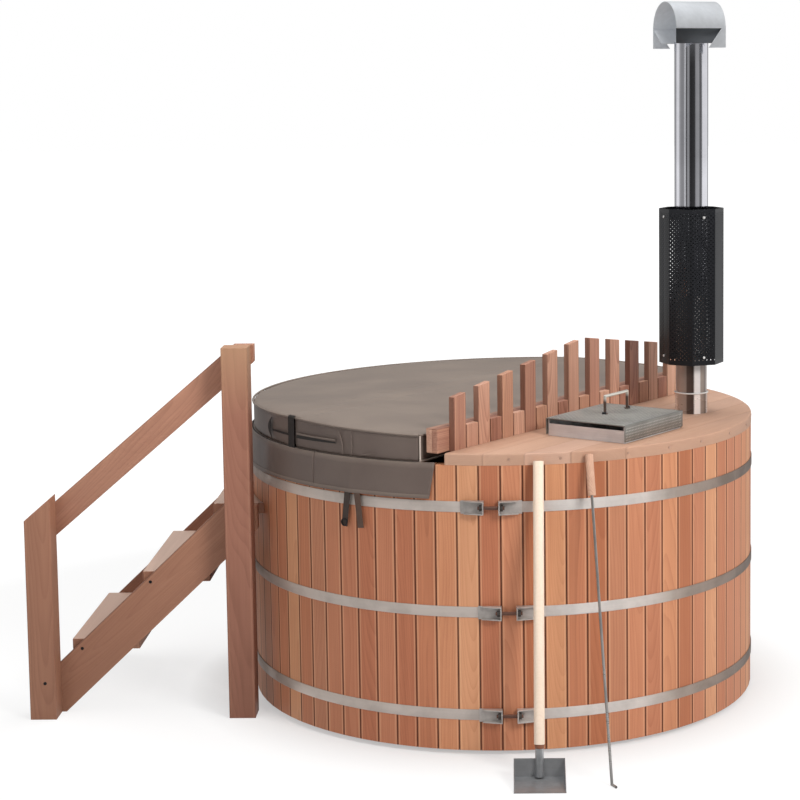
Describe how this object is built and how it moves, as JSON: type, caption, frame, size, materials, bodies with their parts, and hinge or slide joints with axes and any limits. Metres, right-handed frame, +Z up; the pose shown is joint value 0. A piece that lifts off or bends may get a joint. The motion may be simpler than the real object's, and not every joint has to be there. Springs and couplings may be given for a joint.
{
  "type": "wood-fired hot tub",
  "caption": "Round cedar stave hot tub with a submerged wood stove behind a picket fence, folding padded cover, chimney, steps with a handrail, and fire tools.",
  "frame": {"origin": "on the ground at the tub's vertical axis", "axes": "+Z up along the tub's axis, -X towards the steps, -Y towards the picture's viewer"},
  "size_m": [2.531, 2.2124, 2.441],
  "materials": {
    "cedar": "satin",
    "aged_cedar": "satin",
    "pale_wood": "satin",
    "steel": "brushed",
    "galvanized": "satin",
    "marine_alloy": "satin",
    "black_steel": "satin",
    "cast_bars": "rough",
    "vinyl": "satin",
    "webbing": "matte",
    "brass": "satin"
  },
  "bodies": {
    "tub": {"chine_joists": "aged_cedar", "floor_boards": "aged_cedar", "staves": "cedar", "hoop_bottom": "steel", "hoop_middle": "steel", "hoop_top": "steel", "hoop_lugs": "galvanized", "tension_rods": "steel", "hoop_nuts": "steel", "bench_seats": "cedar", "bench_bearers": "cedar", "bench_legs": "cedar", "fence_tall_slats": "cedar", "fence_short_slats": "cedar", "fence_rails": "cedar", "deck_boards": "cedar", "deck_bearers": "cedar", "deck_screws": "steel", "stove_box": "marine_alloy", "stove_grate": "cast_bars", "stove_feet": "marine_alloy", "stove_lag_screws": "steel", "stove_neck": "steel", "flue_collar": "galvanized", "flue_lower_pipe": "galvanized", "flue_upper_pipe": "galvanized", "heat_guard": "black_steel", "guard_spacers": "steel", "guard_screws": "steel", "cap_hood": "galvanized", "cap_flaps": "galvanized", "stair_near_stringer": "aged_cedar", "stair_far_stringer": "aged_cedar", "stair_treads": "aged_cedar", "tread_cleats": "aged_cedar", "stair_tall_post": "aged_cedar", "stair_short_post": "aged_cedar", "stair_handrail": "aged_cedar", "stair_bolts": "steel", "drain_fitting": "brass", "drain_locknut": "brass", "drain_valve_body": "brass"},
    "cover_outer": {"cover_outer_half": "vinyl", "cover_outer_skirt": "vinyl", "cover_fold_webbing": "webbing"},
    "cover_inner": {"cover_inner_half": "vinyl", "cover_inner_skirt": "vinyl", "cover_handles": "webbing", "tie_straps": "webbing", "strap_rings": "black_steel"},
    "hatch": {"hatch_lid": "steel", "hatch_handle": "steel"},
    "drain_valve": {"drain_plug": "steel", "drain_lever": "black_steel"},
    "shovel": {"shovel_handle": "pale_wood", "shovel_ferrule": "aged_cedar", "shovel_pan": "galvanized"},
    "poker": {"poker_grip": "aged_cedar", "poker_rod": "steel"}
  },
  "joints": [
    {"name": "cover_lift", "type": "slide", "parent": "tub", "child": "cover_outer", "axis": [0, 0, 1], "range_m": [0, 0.5]},
    {"name": "cover_fold", "type": "hinge", "parent": "cover_outer", "child": "cover_inner", "pos_m": [-0.20643, 0.14454, 1.0623], "axis": [-0.5736, -0.8192, 0], "range_deg": [0, 125]},
    {"name": "hatch_slide", "type": "slide", "parent": "tub", "child": "hatch", "axis": [-0.5736, -0.8192, 0], "range_m": [0, 0.25]},
    {"name": "drain_turn", "type": "hinge", "parent": "tub", "child": "drain_valve", "pos_m": [-0.32996, 0.89438, 0.19], "axis": [0, 0, 1], "range_deg": [-90, 0]},
    {"name": "shovel_lift", "type": "slide", "parent": "tub", "child": "shovel", "axis": [0, 0, 1], "range_m": [0, 0.4]},
    {"name": "poker_lift", "type": "slide", "parent": "tub", "child": "poker", "axis": [0, 0, 1], "range_m": [0, 0.4]}
  ]
}
